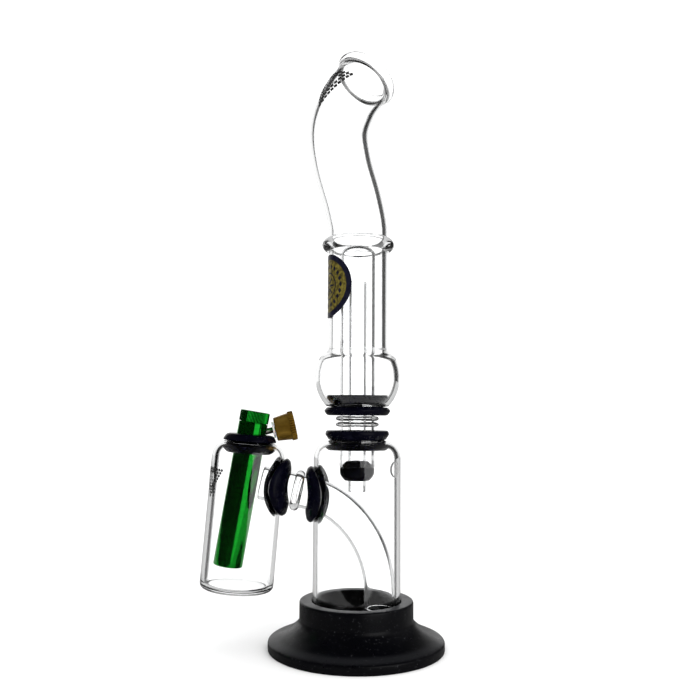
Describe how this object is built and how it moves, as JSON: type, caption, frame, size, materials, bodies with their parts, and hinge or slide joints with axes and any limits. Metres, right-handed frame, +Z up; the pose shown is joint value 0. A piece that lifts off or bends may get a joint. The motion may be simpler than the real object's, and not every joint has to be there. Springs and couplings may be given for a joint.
{
  "type": "glass water pipe",
  "caption": "Modular clear glass water pipe with a rubber base, dome percolator, S-bend mouthpiece and a side pre-cooler holding a green metal stem and brass cone.",
  "frame": {"origin": "centre of the underside of the rubber base", "axes": "+X towards the mouth's side and away from the pre-cooler, +Y away from the front, +Z up along the pipe"},
  "size_m": [0.1433, 0.103, 0.3563],
  "materials": {
    "base_rubber": "matte black rubber with a fine grain",
    "black_rubber": "smooth black rubber",
    "clear_glass": "clear borosilicate glass",
    "green_anodised": "polished green anodised aluminium",
    "nickel_plate": "nickel plate",
    "pale_silicone": "pale silicone",
    "brass": "turned brass with a darker ribbed rim",
    "printed_label": "olive-gold printed label with a dark blue border"
  },
  "bodies": {
    "base": {"rubber_base": "base_rubber"},
    "chamber": {"main_chamber": "clear_glass", "main_top_grommet": "black_rubber", "main_side_grommet": "black_rubber", "curved_downstem": "clear_glass"},
    "spine": {"spine_tube": "clear_glass", "spine_plug": "black_rubber", "riser_tube": "clear_glass"},
    "percolator": {"percolator_glass": "clear_glass", "percolator_grommet": "black_rubber", "round_label": "printed_label"},
    "pre_cooler": {"catcher_bottle": "clear_glass", "catcher_side_grommet": "black_rubber"},
    "neck_grommet": {"catcher_top_grommet": "black_rubber"},
    "stem": {"stem_tube": "green_anodised", "cap_seal": "black_rubber", "cone_nipple": "nickel_plate", "cone_washer": "pale_silicone"},
    "cap": {"stem_cap": "green_anodised"},
    "cone": {"brass_cone": "brass"}
  },
  "joints": [
    {"name": "chamber_lift", "type": "slide", "parent": "base", "child": "chamber", "axis": [0, 0, 1], "range_m": [0, 0.012]},
    {"name": "spine_pull", "type": "slide", "parent": "chamber", "child": "spine", "axis": [0, 0, 1], "range_m": [0, 0.02]},
    {"name": "percolator_turn", "type": "hinge", "parent": "spine", "child": "percolator", "pos_m": [0, 0, 0.14], "axis": [0, 0, 1], "continuous": true},
    {"name": "pre_cooler_swing", "type": "hinge", "parent": "chamber", "child": "pre_cooler", "pos_m": [-0.04557, 0, 0.09285], "axis": [0.9798, 0, -0.1997], "range_deg": [-45, 45]},
    {"name": "stem_turn", "type": "hinge", "parent": "pre_cooler", "child": "neck_grommet", "pos_m": [-0.06409, 0, 0.11815], "axis": [0.0767, 0, 0.9971], "range_deg": [-40, 40]},
    {"name": "stem_pull", "type": "slide", "parent": "neck_grommet", "child": "stem", "axis": [0.165, 0, 0.9863], "range_m": [0, 0.07]},
    {"name": "cap_turn", "type": "hinge", "parent": "stem", "child": "cap", "pos_m": [-0.06409, 0, 0.11815], "axis": [0.165, 0, 0.9863], "continuous": true},
    {"name": "cone_turn", "type": "hinge", "parent": "stem", "child": "cone", "pos_m": [-0.06323, 0, 0.12328], "axis": [0.9671, 0.1187, 0.225], "continuous": true}
  ]
}
